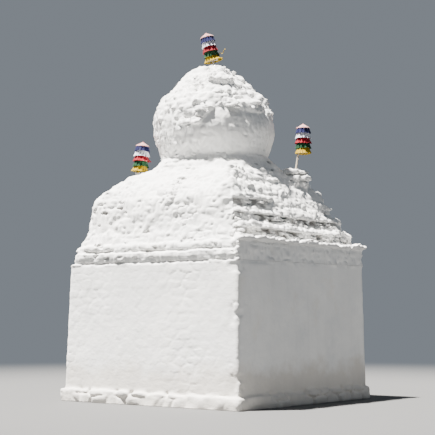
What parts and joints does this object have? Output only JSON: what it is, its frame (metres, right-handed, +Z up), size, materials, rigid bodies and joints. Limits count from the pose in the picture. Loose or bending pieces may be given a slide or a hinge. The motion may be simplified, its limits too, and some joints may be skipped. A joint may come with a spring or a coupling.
{
  "type": "stupa",
  "caption": "Weathered limewashed stone stupa: square plinth, worn steps, bulging dome with a spire stump, and cloth banners on poles.",
  "frame": {"origin": "centre of the plinth's footing at ground level", "axes": "+Z up; the front faces -Y and is the side lit by the sun in the picture; +X is the right side, in shade in the picture"},
  "size_m": [3.74, 3.74, 6.2278],
  "materials": {
    "limewash": "matte",
    "willow": "matte",
    "wire": "satin",
    "linen": "matte",
    "pink": "matte",
    "blue": "matte",
    "white": "matte",
    "red": "matte",
    "green": "matte",
    "yellow": "matte"
  },
  "bodies": {
    "root": {"footing_course": "limewash", "plinth_wall": "limewash", "string_course": "limewash", "frieze_course": "limewash", "cap_course": "limewash", "step_1": "limewash", "step_2": "limewash", "step_3": "limewash", "step_4": "limewash", "top_terrace": "limewash", "back_right_cairn": "limewash", "dome_seat": "limewash", "dome": "limewash", "spire_stump": "limewash", "top_pole_stones": "limewash", "left_pole_stones": "limewash", "top_pole": "willow", "top_banner_cap": "pink", "top_banner_liner": "linen", "top_flounce_blue": "blue", "top_flounce_white": "white", "top_flounce_red": "red", "top_flounce_green": "green", "top_flounce_yellow": "yellow", "top_banner_hoop": "wire", "left_pole": "willow", "left_banner_cap": "pink", "left_banner_liner": "linen", "left_flounce_blue": "blue", "left_flounce_white": "white", "left_flounce_red": "red", "left_flounce_green": "green", "left_flounce_yellow": "yellow", "left_banner_hoop": "wire", "right_pole": "willow", "right_banner_cap": "pink", "right_banner_liner": "linen", "right_flounce_blue": "blue", "right_flounce_white": "white", "right_flounce_red": "red", "right_flounce_green": "green", "right_flounce_yellow": "yellow", "right_banner_hoop": "wire"}
  },
  "joints": []
}
